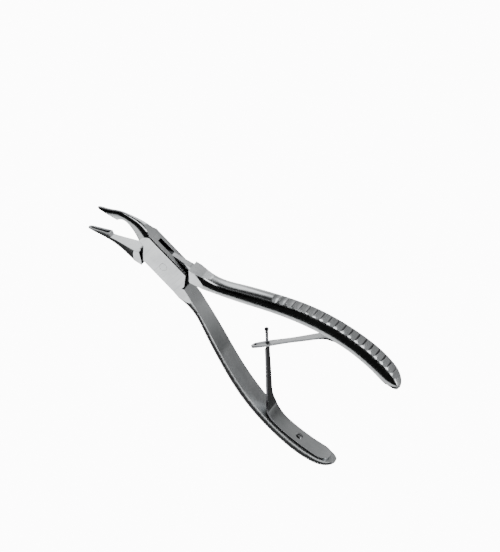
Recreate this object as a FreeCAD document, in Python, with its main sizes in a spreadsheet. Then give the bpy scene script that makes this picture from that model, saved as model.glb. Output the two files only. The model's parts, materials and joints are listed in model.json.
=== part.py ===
"""Bone rongeur with a box lock, flush lock pin and a pair of hooked leaf springs.

Frame: +Z along the lock pin, +X from the pin towards the handle ends, +Y to the side of
the tongue half's handle. The origin is on the pin axis, on the outer face of one cheek.
Both halves are drawn with the jaws closed; the tongue half and what it carries are then
turned open about the pin.
"""

import FreeCAD, Part
import math
import os
from collections import namedtuple

Vector = FreeCAD.Vector
Z_AXIS = Vector(0, 0, 1)

DRIVING_SIZES = {
    "open_angle": 18.0,
    "box_thickness": 7.5,
    "box_top": 5.6,
    "box_bottom": 5.5,
    "box_front": 9.1,
    "box_rear": 12.1,
    "cheek_rear": 8.1,
    "cheek_chamfer": 0.45,
    "slot_width": 2.5,
    "slot_flare_start": 0.5,
    "slot_flare_width": 5.9,
    "tongue_flare_width": 3.2,
    "tongue_clearance": 0.06,
    "shoulder_gap": 0.25,
    "pin_diameter": 3.2,
    "pin_running_clearance": 0.04,
    "jaw_reach": 35.35,
    "jaw_drop": 5.77,
    "jaw_width": 3.0,
    "jaw_gap": 0.1,
    "cup_length": 9.2,
    "cup_radius": 1.05,
    "cup_tip_radius": 0.5,
    "cup_rise": 1.4,
    "handle_reach": 105.5,
    "handle_bow": 15.6,
    "handle_tip_drop": 8.6,
    "handle_width": 10.0,
    "waist_width": 8.5,
    "handle_depth": 5.0,
    "waist_depth": 3.7,
    "handle_end_round": 8.0,
    "flute_pitch": 3.06,
    "flute_radius": 2.9,
    "flute_depth": 0.5,
    "flute_first": 47.1,
    "flute_end_margin": 4.8,
    "leaf_thickness": 0.8,
    "leaf_foot_width": 8.2,
    "leaf_seat_clearance": 0.03,
    "leaf_joint_gap": 0.2,
    "lower_tip_width": 3.4,
    "upper_tip_width": 3.2,
    "neck_width": 1.2,
    "knob_diameter": 1.85,
    "eye_slot_width": 1.6,
    "eye_slot_length": 7.6,
    "screw_shank_diameter": 1.6,
    "screw_shank_length": 3.2,
    "screw_head_diameter": 3.3,
    "screw_head_height": 0.5,
    "screw_slot_width": 0.45,
    "screw_clearance": 0.05,
    "screw_seat_clearance": 0.03,
}

doc = FreeCAD.newDocument("rongeur")
sheet = doc.addObject("Spreadsheet::Sheet", "Sizes")
for row, (alias, value) in enumerate(DRIVING_SIZES.items(), start=1):
    sheet.set("A%d" % row, alias)
    sheet.set("B%d" % row, str(value))
    sheet.setAlias("B%d" % row, alias)
doc.recompute()

Sizes = namedtuple("Sizes", DRIVING_SIZES)
size = Sizes(*(float(getattr(sheet, alias)) for alias in DRIVING_SIZES))

MID = size.box_thickness / 2
OVERRUN = 30.0
PIN_RADIUS = size.pin_diameter / 2
TO_ROW = FreeCAD.Placement(Vector(0, 0, MID), FreeCAD.Rotation())
OPEN_TURN = FreeCAD.Rotation(Z_AXIS, size.open_angle)
OPENED = FreeCAD.Placement(Vector(0, 0, MID), OPEN_TURN)


def flat(points):
    """Corner points in the plane of the instrument as vectors."""
    return [Vector(x, y, 0) for x, y in points]


def closed_polygon(corners):
    """Straight-sided closed wire through the corners."""
    return Part.makePolygon(corners + corners[:1])


def prism(points, half_height):
    """A straight-sided plate of the given outline, centred on the mid-plane."""
    face = Part.Face(closed_polygon(flat(points)))
    face.translate(Vector(0, 0, -half_height))
    return face.extrude(Vector(0, 0, 2 * half_height))


def spline(points):
    """A smooth curve through the points."""
    curve = Part.BSplineCurve()
    curve.interpolate(flat(points))
    return curve


def region_beside(curve, side, start=None):
    """All that lies on one side of a curve, from one end of the curve to the other."""
    first, last = curve.value(curve.FirstParameter), curve.value(curve.LastParameter)
    far_first = Vector(first.x, side * OVERRUN * 2, 0)
    far_last = Vector(last.x, side * OVERRUN * 2, 0)
    edges = [curve.toShape(), Part.makeLine(last, far_last)]
    edges += [Part.makeLine(far_last, far_first), Part.makeLine(far_first, first)]
    face = Part.Face(Part.Wire(edges))
    face.translate(Vector(0, 0, -OVERRUN))
    return face.extrude(Vector(0, 0, 2 * OVERRUN))


def mirrored(points):
    """The same points on the other side of the closed instrument's centre line."""
    return [(x, -y) for x, y in points]


def main_solid(shape):
    """The body of a shape, without the crumbs that a cut can leave."""
    return max(shape.Solids, key=lambda solid: solid.Volume)


def d_section(base, outward, half_width, depth, fullness, skirt):
    """Closed wire with a flat inner side at the base and a convex back.

    The back is one curve of degree four. Fullness 1 is nearly an ellipse and 2 nearly a
    rectangle. The skirt is the straight stretch on the other side of the base.
    """
    inner = base - outward * skirt
    left, right = Z_AXIS * -half_width, Z_AXIS * half_width
    crown = (16 - 8 * fullness) / 6
    back = Part.BezierCurve()
    back.setPoles([
        base + right,
        base + right + outward * depth * fullness,
        base + outward * depth * crown,
        base + left + outward * depth * fullness,
        base + left,
    ])
    edges = [Part.makeLine(inner + left, inner + right), Part.makeLine(inner + right, base + right)]
    edges += [back.toShape(), Part.makeLine(base + left, inner + left)]
    return Part.Wire(edges)


def flattened(body, back_points, side, side_profile):
    """The body with a flat back and flat sides where it runs out of the lock.

    The side profile gives the half width of the flat sides at distances along the
    instrument.
    """
    far = [(back_points[-1][0], side * OVERRUN * 2), (back_points[0][0], side * OVERRUN * 2)]
    body = body.cut(prism(back_points + far, OVERRUN))
    for sign in (-1, 1):
        corners = [Vector(x, -2 * OVERRUN, sign * half) for x, half in side_profile]
        corners += [Vector(side_profile[-1][0], -2 * OVERRUN, sign * OVERRUN),
                    Vector(side_profile[0][0], -2 * OVERRUN, sign * OVERRUN)]
        body = body.cut(Part.Face(closed_polygon(corners)).extrude(Vector(0, 4 * OVERRUN, 0)))
    return body


def station_on(curve, x):
    """Point and unit tangent where the curve passes a distance x along the instrument."""
    low, high = curve.FirstParameter, curve.LastParameter
    rising = curve.value(high).x > curve.value(low).x
    for _ in range(60):
        middle = (low + high) / 2
        if (curve.value(middle).x < x) == rising:
            low = middle
        else:
            high = middle
    tangent = Vector(*curve.tangent(low)[0])
    return curve.value(low), tangent.normalize()


def end_factor(distance, length):
    """How much of a full section is left at a distance from a rounded end."""
    if distance >= length:
        return 1.0
    return math.sqrt(max(0.0, 1 - (1 - distance / length) ** 2))


# Inner face of each handle, closed: one curve, mirrored for the tongue half

INNER_START_DROP = 0.3
INNER_OVERRUN = 1.5
handle_length = size.handle_reach - size.box_rear


def handle_line():
    """Inner face of the box half's handle as points from the lock to the end."""
    shares = ((0.0, INNER_START_DROP / size.handle_bow), (0.106, 0.165), (0.224, 0.39),
              (0.384, 0.715), (0.545, 0.936), (0.706, 1.0), (0.855, 0.875))
    points = [(size.box_rear + handle_length * along, -size.handle_bow * drop)
              for along, drop in shares]
    return points + [(size.handle_reach, -size.handle_tip_drop)]


HandleStation = namedtuple("HandleStation", "x half_width depth fullness")

# How far behind the inner face the flutes are centred, which sets where they run out
FLUTE_CENTRE_OFFSET = 12.0


def handle_stations():
    """Sections of a handle from inside the lock to just short of the rounded end.

    The first ones are larger than the lock, for the flats that are cut on them.
    """
    waist_half = size.waist_width / 2
    grip_half = size.handle_width / 2
    lock_depth = size.box_bottom - INNER_START_DROP
    rows = [
        HandleStation(size.box_rear - 3.0, MID + 0.8, lock_depth + 1.3, 2.1),
        HandleStation(size.box_rear + 1.2, MID + 0.8, lock_depth + 1.2, 1.9),
        HandleStation(size.box_rear + 5.5, waist_half + 0.1, size.waist_depth + 1.15, 1.65),
        HandleStation(size.box_rear + 11.0, waist_half, size.waist_depth + 0.05, 1.4),
        HandleStation(size.box_rear + 20.0, (waist_half + grip_half) / 2,
                      (3 * size.waist_depth + size.handle_depth) / 4, 1.3),
        HandleStation(size.box_rear + 0.33 * handle_length, grip_half * 0.98,
                      (size.waist_depth + size.handle_depth) / 2, 1.25),
        HandleStation(size.box_rear + 0.52 * handle_length, grip_half, size.handle_depth, 1.25),
        HandleStation(size.box_rear + 0.74 * handle_length, grip_half, size.handle_depth, 1.25),
    ]
    for distance in (1.15, 0.62, 0.3, 0.12, 0.03):
        left = end_factor(distance * size.handle_end_round, size.handle_end_round * 1.15)
        x = size.handle_reach - distance * size.handle_end_round
        rows.append(HandleStation(x, grip_half * left, size.handle_depth * left, 1.25))
    return rows


def handle(side):
    """One handle with a flat inner face. Side is -1 for the box half and 1 for the other."""
    points = handle_line() if side < 0 else mirrored(handle_line())
    line = spline(points)
    sections = []
    for row in handle_stations():
        if row.x < size.box_rear:
            point, tangent = Vector(row.x, points[0][1], 0), Vector(1, 0, 0)
        else:
            point, tangent = station_on(line, row.x)
        outward = Z_AXIS.cross(tangent) * side
        sections.append(d_section(point, outward, row.half_width, row.depth, row.fullness, 0.5))
    body = Part.makeLoft(sections, True, False).cut(region_beside(line, -side))
    edge = size.box_bottom if side < 0 else size.box_top
    rear = size.box_rear
    back = [(rear - 5.0, edge), (rear + 3.5, edge), (rear + 6.5, edge + 0.3), (rear + 9.5, edge + 1.2),
            (rear + 13.0, edge + 3.0)]
    back = [(x, side * y) for x, y in back]
    flats = [(rear - 5.0, MID), (rear + 0.8, MID), (rear + 5.0, MID + 0.42), (rear + 12.0, MID + 1.4)]
    return flattened(body, back, side, flats), line


def fluted(body, line, side):
    """The handle with finger flutes rolled round its back, which run out at the sides."""
    first = line.parameter(station_on(line, size.flute_first)[0])
    start = line.length(line.FirstParameter, first)
    room = line.length(first, line.LastParameter) - size.flute_end_margin
    cutters = []
    for number in range(int(room / size.flute_pitch) + 1):
        parameter = line.parameterAtDistance(start + number * size.flute_pitch, line.FirstParameter)
        point = line.value(parameter)
        tangent = Vector(*line.tangent(parameter)[0]).normalize()
        outward = Z_AXIS.cross(tangent) * side
        probe = Part.makeLine(point + outward * 0.2, point + outward * OVERRUN)
        depth = body.common(probe).BoundBox.DiagonalLength + 0.2
        centre = point - outward * FLUTE_CENTRE_OFFSET
        ring = FLUTE_CENTRE_OFFSET + depth + size.flute_radius - size.flute_depth
        cutters.append(Part.makeTorus(ring, size.flute_radius, centre, tangent))
    return body.cut(cutters)


# Jaws, closed: the cups meet on a straight line that runs down to the tips

MEETING_SLOPE = 0.4
JawStation = namedtuple("JawStation", "x y lean half_width depth fullness")
ARCH = ((0.427, 1.1), (0.213, 0.6), (0.088, 0.15))
ARCH_RISE_RUN = 1.6
ARCH_FIRST_HEIGHT = 0.35


def jaw_x(share):
    """Place along a jaw, from the front of the lock at 0 to the tip at 1."""
    return -(size.box_front + share * (size.jaw_reach - size.box_front))


def jaw_fall(share):
    """Height on the back of the upper jaw, from the top of the lock at 0 to the tip at 1."""
    return size.box_top - share * (size.box_top + size.jaw_drop)


def rim_start():
    """Where the cups begin on the meeting line."""
    return size.jaw_reach - size.cup_length, size.jaw_drop - size.cup_length * MEETING_SLOPE


def jaw(rows, side):
    """A jaw body from sections across its back. Side is 1 for the jaw of the box half."""
    sections = []
    for row in rows:
        lean = math.radians(row.lean)
        outward = Vector(-math.sin(lean), math.cos(lean), 0) * side
        back = Vector(row.x, row.y, 0)
        base = back - outward * row.depth
        sections.append(d_section(base, outward, row.half_width, row.depth, row.fullness, 1.2))
    return Part.makeLoft(sections, True, False)


def cup_cutter():
    """Long round-ended scoop that hollows both jaws along the meeting line."""
    start_x, start_y = rim_start()
    heel = size.cup_radius + 0.3
    toe = size.cup_tip_radius + 0.75
    start = Vector(-start_x - heel, -start_y - heel * MEETING_SLOPE, 0)
    end = Vector(-size.jaw_reach + toe, -size.jaw_drop + toe * MEETING_SLOPE, 0)
    run = end - start
    scoop = Part.makeCone(size.cup_radius, size.cup_tip_radius, run.Length, start, run)
    ends = [Part.makeSphere(size.cup_radius, start), Part.makeSphere(size.cup_tip_radius, end)]
    return scoop.fuse(ends)


def under_arch():
    """All that lies below the cup rim, the arched underside of the upper jaw and its shoulder."""
    reach, gap = size.jaw_reach, size.jaw_gap / 2
    start_x, start_y = rim_start()
    arch = spline([(-start_x, -start_y), (-start_x + ARCH_RISE_RUN, ARCH_FIRST_HEIGHT)]
                  + [(jaw_x(share), height) for share, height in ARCH])
    corner, last = arch.value(arch.FirstParameter), arch.value(arch.LastParameter)
    tip = Vector(-reach - 2, -size.jaw_drop - 2 * MEETING_SLOPE + gap, 0)
    shoulder = Vector(*FRONT_SHOULDER[1], 0)
    root, under = Vector(shoulder.x, -OVERRUN, 0), Vector(tip.x, -OVERRUN, 0)
    edges = [Part.makeLine(tip, corner), arch.toShape()]
    for start, end in ((last, shoulder), (shoulder, root), (root, under), (under, tip)):
        edges.append(Part.makeLine(start, end))
    below = Part.Face(Part.Wire(edges))
    below.translate(Vector(0, 0, -OVERRUN))
    return below.extrude(Vector(0, 0, 2 * OVERRUN))


def upper_jaw():
    """Curved jaw of the box half with an arched underside and a cup."""
    half = size.jaw_width / 2
    reach, drop, top = size.jaw_reach, size.jaw_drop, size.box_top
    rows = [
        JawStation(-size.box_front + 0.5, top + 1.2, 0, MID + 0.7, 6.6, 2.1),
        JawStation(jaw_x(0.149), top + 0.9, 3, MID + 0.45, 5.95, 1.85),
        JawStation(jaw_x(0.293), top + 0.1, 10, MID - 0.5, 4.75, 1.6),
        JawStation(jaw_x(0.438), jaw_fall(0.075), 19, half + 0.9, 4.0, 1.5),
        JawStation(jaw_x(0.587), jaw_fall(0.22), 27, half + 0.35, 3.5, 1.4),
        JawStation(jaw_x(0.728), jaw_fall(0.409), 33, half + 0.05, 3.4, 1.35),
        JawStation(-reach + 4.0, -drop + 3.65, 38, half, 2.8, 1.3),
        JawStation(-reach + 1.6, -drop + 1.7, 40, half * 0.9, 1.8, 1.3),
        JawStation(-reach + 0.5, -drop + 0.75, 42, half * 0.68, 0.9, 1.3),
        JawStation(-reach + 0.1, -drop + 0.3, 44, half * 0.35, 0.5, 1.3),
    ]
    body = jaw(rows, 1).cut(under_arch()).cut(cup_cutter())
    inside_lock = -size.box_front + 4.0
    back = [(jaw_x(0.567), top), (inside_lock, top)]
    flats = [(jaw_x(0.415), MID + 0.3), (jaw_x(0.225), MID), (inside_lock, MID)]
    return main_solid(flattened(body, back, 1, flats))


def lower_jaw():
    """Straight-backed jaw of the tongue half with a raised rim round its cup."""
    half = size.jaw_width / 2
    reach, drop, bottom = size.jaw_reach, size.jaw_drop, size.box_bottom
    rows = [
        JawStation(-size.box_front + 2.5, -bottom - 0.9, 0, MID + 0.6, 6.5, 2.1),
        JawStation(jaw_x(0.13), -bottom - 0.7, 0, MID + 0.35, 6.2, 2.0),
        JawStation(jaw_x(0.244), -bottom - 0.35, 0, MID - 0.35, 5.4, 1.75),
        JawStation(jaw_x(0.358), -bottom - 0.15, 0, MID - 1.0, 4.8, 1.5),
        JawStation(jaw_x(0.491), -bottom, 1, half + 0.55, 4.2, 1.35),
        JawStation(jaw_x(0.644), -bottom - 0.1, 2, half + 0.1, 3.8, 1.3),
        JawStation(-reach + 4.0, -drop - 0.3, 4, half, 2.6, 1.3),
        JawStation(-reach + 1.6, -drop - 0.4, 6, half * 0.95, 1.7, 1.3),
        JawStation(-reach + 0.5, -drop - 0.35, 10, half * 0.75, 0.9, 1.3),
        JawStation(-reach + 0.1, -drop - 0.2, 10, half * 0.4, 0.5, 1.3),
    ]
    start_x, start_y = rim_start()
    gap = size.jaw_gap / 2
    flat_end = -size.box_front - 2.5
    above = [(-reach - 2, -drop - 2 * MEETING_SLOPE - gap), (-start_x, -start_y - gap),
             (-start_x + 1.3, -start_y - size.cup_rise + 0.2), (flat_end, -0.3), (flat_end, OVERRUN),
             (-reach - 2, OVERRUN)]
    body = jaw(rows, -1).cut(prism(above, OVERRUN)).cut(cup_cutter())
    inside_lock = -size.box_front + 4.0
    back = [(jaw_x(0.567), -bottom - 1.2), (jaw_x(0.263), -bottom + 0.4), (inside_lock, -bottom + 0.4)]
    flats = [(jaw_x(0.244), MID + 0.5), (jaw_x(0.168), MID), (inside_lock, MID)]
    return main_solid(flattened(body, back, -1, flats))


# Lock: cheeks on the box half, tongue on the other

FRONT = -size.box_front
FRONT_SHOULDER = ((FRONT - 2.4, 0.15), (FRONT + 0.1, -3.2), (FRONT + 2.2, -size.box_bottom))


def box_plan():
    """Outline of the lock of the box half, seen along the pin."""
    return [
        (FRONT - 0.4, size.box_top), (size.cheek_rear, size.box_top),
        (size.box_rear, -INNER_START_DROP), (size.box_rear + 1.0, -size.box_bottom),
        FRONT_SHOULDER[2], FRONT_SHOULDER[1], FRONT_SHOULDER[0],
    ]


SLOT_NOSE = FRONT - 2.8
SLOT_FOOT = (size.box_rear - 5.1, -size.box_bottom)
SLOT_HEEL = (size.box_rear + 0.7, 0.2)


def slot_cutters():
    """Through slot for the tongue, and its flare towards the handles."""
    outline = [
        (FRONT, OVERRUN), (FRONT, size.box_top), (SLOT_NOSE, 0.1), (SLOT_NOSE - 0.5, -OVERRUN),
        (SLOT_FOOT[0], -OVERRUN), SLOT_FOOT, SLOT_HEEL, (size.box_rear + 4.0, OVERRUN),
    ]
    narrow, wide = size.slot_width / 2, size.slot_flare_width / 2
    wedge = wedge_across(size.slot_flare_start, narrow, size.cheek_rear, wide, 6.0)
    return [prism(outline, narrow), wedge.common(prism(outline, OVERRUN * 0.9))]


def cheek_chamfers():
    """Wedges along the long edges of both cheeks, which run out into the jaw and the handle."""
    cut, none = size.cheek_chamfer, -0.05
    top = ((FRONT - 8.0, none), (FRONT - 3.0, cut), (size.cheek_rear + 1.5, cut))
    bottom = ((FRONT + 1.0, cut), (size.box_rear - 2.0, cut), (size.box_rear + 3.0, none))
    wedges = []
    for edge, side, stations in ((size.box_top, 1, top), (-size.box_bottom, -1, bottom)):
        for face in (1, -1):
            sections = []
            for x, depth in stations:
                corners = [Vector(x, edge - side * (depth + 2), face * (MID + 2)),
                           Vector(x, edge + side * 2, face * (MID - depth - 2)),
                           Vector(x, edge + side * 3, face * (MID + 3))]
                sections.append(closed_polygon(corners))
            wedges.append(Part.makeLoft(sections, True, True))
    return wedges


def wedge_across(x_start, half_start, x_end, half_end, beyond):
    """Wedge that widens along X, symmetric about the mid-plane, tall enough for the lock."""
    slope = (half_end - half_start) / (x_end - x_start)
    half_last = half_end + slope * beyond
    corners = [
        Vector(x_start, -OVERRUN, -half_start), Vector(x_end + beyond, -OVERRUN, -half_last),
        Vector(x_end + beyond, -OVERRUN, half_last), Vector(x_start, -OVERRUN, half_start),
    ]
    return Part.Face(closed_polygon(corners)).extrude(Vector(0, 2 * OVERRUN, 0))


def shoulder_line(gap):
    """Rear shoulder of the tongue half, a gap behind the cheeks of the box half."""
    return ((size.cheek_rear + 1.35 + gap, size.box_top + 0.1),
            (size.box_rear + gap, INNER_START_DROP / 2))


def tongue():
    """Plate that turns between the cheeks and joins the lower jaw to its handle."""
    play = size.tongue_clearance
    outline = [
        (FRONT + play, size.box_top), (SLOT_NOSE + play, 0.1), (SLOT_NOSE - 0.7, -0.8),
        (FRONT - 1.4, -size.box_bottom + 0.5), (FRONT + 1.3, -size.box_bottom + 0.5),
        (FRONT + 2.1, -size.box_bottom),
        (SLOT_FOOT[0] - play, SLOT_FOOT[1]), (size.box_rear - play, -INNER_START_DROP + play),
        (size.box_rear + 1.5, INNER_START_DROP + 0.3), (size.box_rear + 1.5, size.box_top - 0.4),
        (size.cheek_rear + 1.0, size.box_top),
    ]
    half = size.slot_width / 2 - play
    plate = prism(outline, half)
    wedge = wedge_across(size.slot_flare_start + 3.0, half, size.cheek_rear, size.tongue_flare_width / 2, 6.0)
    return plate.fuse(wedge.common(prism(outline, MID)))


def bore(radius):
    """Hole for the lock pin."""
    return Part.makeCylinder(radius, 2 * OVERRUN, Vector(0, 0, -OVERRUN), Z_AXIS)


# Leaf springs: each a foot screwed to the handle and a blade that bends off it. The blades
# cross with the jaws open, where the neck of the lower one passes through the upper one.

Leaf = namedtuple("Leaf", "side bend_from_end bend_lift lift_run heading curl")
LOWER = Leaf(-1, 33.611, 2.141, 9.0, 132.9, -0.88)
UPPER = Leaf(1, 30.929, 0.644, 6.0, 226.0, 1.17)
CURL_RUN = 7.5
NECK_BEFORE_CROSSING = 1.6
KNOB_PAST_CROSSING = 6.9
TIP_PAST_CROSSING = 7.45
EYE_WALL = 1.3
LEAF_END_INSET = 2.6
LEAF_PATH_STEPS = 12
SCREW_FROM_END = 17.1
SCREW_TURN = 35.0


def ribbon(stations):
    """A leaf of changing width. Each station has a centre, a run direction, a half width
    and a half thickness."""
    sections = []
    for centre, run, half_width, half_thickness in stations:
        across = Z_AXIS.cross(run) * half_thickness
        up = Z_AXIS * half_width
        corners = [centre + across + up, centre + across - up, centre - across - up, centre - across + up]
        sections.append(closed_polygon(corners))
    return Part.makeLoft(sections, True, False)


def heading(degrees):
    """Unit vector in the plane of the instrument."""
    angle = math.radians(degrees)
    return Vector(math.cos(angle), math.sin(angle), 0)


def bend_of(leaf, line):
    """Middle of the bend of a leaf, with the jaws closed."""
    point, tangent = station_on(line, size.handle_reach - leaf.bend_from_end)
    return point - Z_AXIS.cross(tangent) * leaf.side * leaf.bend_lift


def leaf_path(leaf, line):
    """Centre line of a leaf from its screwed end along the handle and past the bend."""
    bend = bend_of(leaf, line)
    seat_lift = size.leaf_seat_clearance + size.leaf_thickness / 2
    seated = []
    first, last = size.handle_reach - LEAF_END_INSET, size.handle_reach - leaf.bend_from_end
    for step in range(LEAF_PATH_STEPS):
        x = first + (last - first) * step / LEAF_PATH_STEPS
        rise = max(0.0, 1 - (x - last) / leaf.lift_run) ** 2
        point, tangent = station_on(line, x)
        lift = seat_lift + (leaf.bend_lift - seat_lift) * rise
        seated.append(point - Z_AXIS.cross(tangent) * leaf.side * lift)
    start_heading = leaf.heading - math.degrees(math.atan(2 * leaf.curl / CURL_RUN))
    curve = Part.BSplineCurve()
    curve.interpolate(seated + [bend, bend + heading(start_heading) * 1.5])
    return curve


def foot(leaf, line):
    """Wide screwed part of a leaf, up to the middle of its bend."""
    path = leaf_path(leaf, line)
    start = path.FirstParameter
    total = path.length(start, path.parameter(bend_of(leaf, line)))
    end_round = size.leaf_foot_width / 2
    stations = []
    for along in (0.05, 0.4, 1.2, 2.5, end_round, total * 0.35, total * 0.6, total * 0.75,
                  total * 0.85, total * 0.93, total - size.leaf_joint_gap):
        parameter = path.parameterAtDistance(along, start)
        run = Vector(*path.tangent(parameter)[0]).normalize()
        half = end_round * end_factor(along, end_round)
        stations.append((path.value(parameter), run, half, size.leaf_thickness / 2))
    return ribbon(stations).cut(screw_hole(line, leaf.side, size.screw_clearance, 1.0))


def blade_axis(leaf, line):
    """Start and direction of the straight part of a blade, carried back to its bend."""
    return bend_of(leaf, line) - heading(leaf.heading + 90) * leaf.curl, heading(leaf.heading)


def crossing():
    """Distances along the lower and the upper blade to where they cross, jaws open."""
    low_start, low_run = blade_axis(LOWER, box_line)
    high_start, high_run = (OPEN_TURN.multVec(v) for v in blade_axis(UPPER, tongue_line))
    between = high_start - low_start
    turn = low_run.cross(high_run).z
    return between.cross(high_run).z / turn, between.cross(low_run).z / turn


def blade(leaf, line, length, tip_half, rounded):
    """Free part of a leaf, from its bend to its tip. It starts curled and runs straight."""
    half, wide = size.leaf_thickness / 2, size.leaf_foot_width / 2
    run, across, bend = heading(leaf.heading), heading(leaf.heading + 90), bend_of(leaf, line)
    stations = []
    for along, width_share in ((half * 0.5, 1.0), (1.5, 0.86), (4.0, 0.5), (CURL_RUN, 0.26),
                               (14.0, 0.14), (22.0, 0.0)):
        left = max(0.0, 1 - along / CURL_RUN)
        centre = bend + run * along + across * leaf.curl * (left ** 2 - 1)
        direction = run - across * (2 * leaf.curl * left / CURL_RUN)
        stations.append((centre, direction.normalize(), tip_half + (wide - tip_half) * width_share, half))
    for distance in (tip_half, 0.45 * tip_half, 0.12 * tip_half, 0.01) if rounded else (0.0,):
        width = tip_half * (end_factor(distance, tip_half) if rounded else 1.0)
        centre = bend + run * (length - distance) - across * leaf.curl
        stations.append((centre, run, max(width, 0.15), half))
    return ribbon(stations)


def neck_and_knob(leaf, line, start, stop):
    """Narrow end of the lower blade, which passes through the eye and ends in a knob."""
    base, run = blade_axis(leaf, line)
    corner = base + run * start - heading(leaf.heading + 90) * size.leaf_thickness / 2
    corner -= Z_AXIS * size.neck_width / 2
    neck = Part.makeBox(stop - start, size.leaf_thickness, size.neck_width)
    neck.Placement = FreeCAD.Placement(corner, FreeCAD.Rotation(Z_AXIS, leaf.heading))
    ball = Part.makeSphere(size.knob_diameter / 2, base + run * stop)
    collar = Part.makeSphere(size.knob_diameter * 0.4, base + run * (stop - size.knob_diameter * 0.85))
    return neck.fuse([ball, collar])


def eye_cutter(leaf, line, stop):
    """Long slot near the tip of the upper blade for the neck of the lower one."""
    radius = size.eye_slot_width / 2
    base, run = blade_axis(leaf, line)
    far = base + run * stop
    near = base + run * (stop - size.eye_slot_length + 2 * radius)
    through = heading(leaf.heading + 90)
    ends = [Part.makeCylinder(radius, 4, point - through * 2, through) for point in (near, far)]
    box = Part.makeBox((far - near).Length, 4, 2 * radius)
    corner = near - through * 2 - Z_AXIS * radius
    box.Placement = FreeCAD.Placement(corner, FreeCAD.Rotation(Z_AXIS, leaf.heading))
    return ends[0].fuse([ends[1], box])


def screw_axis(line, side):
    """Where the screw meets the inner face of a handle, and the direction out of it."""
    point, tangent = station_on(line, size.handle_reach - SCREW_FROM_END)
    return point, Z_AXIS.cross(tangent) * -side


def screw_hole(line, side, clearance, depth):
    """Hole for a spring screw, from above the leaf down into the handle."""
    point, out = screw_axis(line, side)
    radius = size.screw_shank_diameter / 2 + clearance
    return Part.makeCylinder(radius, depth + 4, point - out * depth, out)


def publish(label, shape, placement):
    """Put a finished piece into the document under its name."""
    piece = doc.addObject("Part::Feature", label)
    piece.Label = label
    piece.Shape = main_solid(shape)
    piece.Placement = placement
    return piece


def box_half():
    """Jaw, both cheeks and handle in one piece, with a slot through the lock."""
    grip, line = handle(-1)
    body = prism(box_plan(), MID).fuse([fluted(grip, line, -1), upper_jaw()])
    holes = [bore(PIN_RADIUS), screw_hole(line, -1, 0.01, size.screw_shank_length)]
    for cutter in cheek_chamfers() + slot_cutters() + holes:
        body = body.cut(cutter)
    return body, line


def tongue_half():
    """Jaw, tongue and handle in one piece, drawn closed."""
    grip, line = handle(1)
    (top_x, top_y), (low_x, low_y) = shoulder_line(size.shoulder_gap)
    slope = (low_x - top_x) / (low_y - top_y)
    ahead = prism([(-OVERRUN, OVERRUN), (top_x + slope * (OVERRUN - top_y), OVERRUN),
                   (low_x + slope * (-OVERRUN - low_y), -OVERRUN), (-OVERRUN, -OVERRUN)], OVERRUN)
    gap = size.shoulder_gap
    (a_x, a_y), (b_x, b_y), (c_x, c_y) = FRONT_SHOULDER
    behind = prism([(a_x - gap, OVERRUN), (a_x - gap, a_y), (b_x - gap, b_y), (c_x - 1.2, c_y),
                    (c_x - 1.2, -OVERRUN), (OVERRUN, -OVERRUN), (OVERRUN, OVERRUN)], OVERRUN)
    body = tongue().fuse([fluted(grip, line, 1).cut(ahead), lower_jaw().cut(behind)])
    pivot = bore(PIN_RADIUS + size.pin_running_clearance)
    for cutter in (pivot, screw_hole(line, 1, 0.01, size.screw_shank_length)):
        body = body.cut(cutter)
    return body, line


def lower_blade():
    """Free part of the leaf on the box half's handle, with its neck and knob."""
    neck_start = crossing()[0] - NECK_BEFORE_CROSSING
    knob_at = crossing()[0] + KNOB_PAST_CROSSING
    free = blade(LOWER, box_line, neck_start, size.lower_tip_width / 2, False)
    return free.fuse(neck_and_knob(LOWER, box_line, neck_start - 0.5, knob_at))


def upper_blade():
    """Free part of the leaf on the tongue half's handle, with its eye, drawn closed."""
    tip_at = crossing()[1] + TIP_PAST_CROSSING
    free = blade(UPPER, tongue_line, tip_at, size.upper_tip_width / 2, True)
    return free.cut(eye_cutter(UPPER, tongue_line, tip_at - EYE_WALL - size.eye_slot_width / 2))


def bound(kind, name, **formulas):
    """A primitive whose sizes follow the sheet."""
    piece = doc.addObject(kind, name)
    for prop, formula in formulas.items():
        piece.setExpression(prop, formula)
    return piece


def lock_pin():
    """Riveted pin, flush with both cheeks."""
    pin = bound("Part::Cylinder", "lock_pin", Radius="Sizes.pin_diameter / 2", Height="Sizes.box_thickness")
    pin.Label = "lock_pin"
    return pin


def spring_screw(label, line, side, placement):
    """Slotted screw through the foot of a leaf into the handle."""
    shank = bound("Part::Cylinder", label + "_shank", Radius="Sizes.screw_shank_diameter / 2",
                  Height="Sizes.screw_shank_length + Sizes.leaf_thickness + Sizes.screw_seat_clearance")
    head = bound("Part::Cone", label + "_head", Radius1="Sizes.screw_head_diameter / 2",
                 Radius2="Sizes.screw_head_diameter * 0.36", Height="Sizes.screw_head_height")
    slot = bound("Part::Box", label + "_slot", Length="Sizes.screw_head_diameter * 2",
                 Width="Sizes.screw_slot_width", Height="Sizes.screw_head_height")
    doc.recompute()
    seat = size.leaf_seat_clearance + size.leaf_thickness + size.screw_seat_clearance
    sunk = size.screw_shank_length - size.leaf_seat_clearance
    shank.Placement.Base = Vector(0, 0, -sunk)
    head.Placement.Base = Vector(0, 0, seat)
    slot.Placement.Base = Vector(-size.screw_head_diameter, -size.screw_slot_width / 2,
                                 seat + size.screw_head_height * 0.35)
    solid = doc.addObject("Part::Fuse", label + "_blank")
    solid.Base, solid.Tool = head, shank
    screw = doc.addObject("Part::Cut", label)
    screw.Base, screw.Tool = solid, slot
    screw.Label = label
    point, out = screw_axis(line, side)
    turn = FreeCAD.Rotation(Vector(0, 0, 1), out).multiply(FreeCAD.Rotation(Z_AXIS, SCREW_TURN))
    screw.Placement = placement.multiply(FreeCAD.Placement(point, turn))
    return screw


box_shape, box_line = box_half()
tongue_shape, tongue_line = tongue_half()

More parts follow.
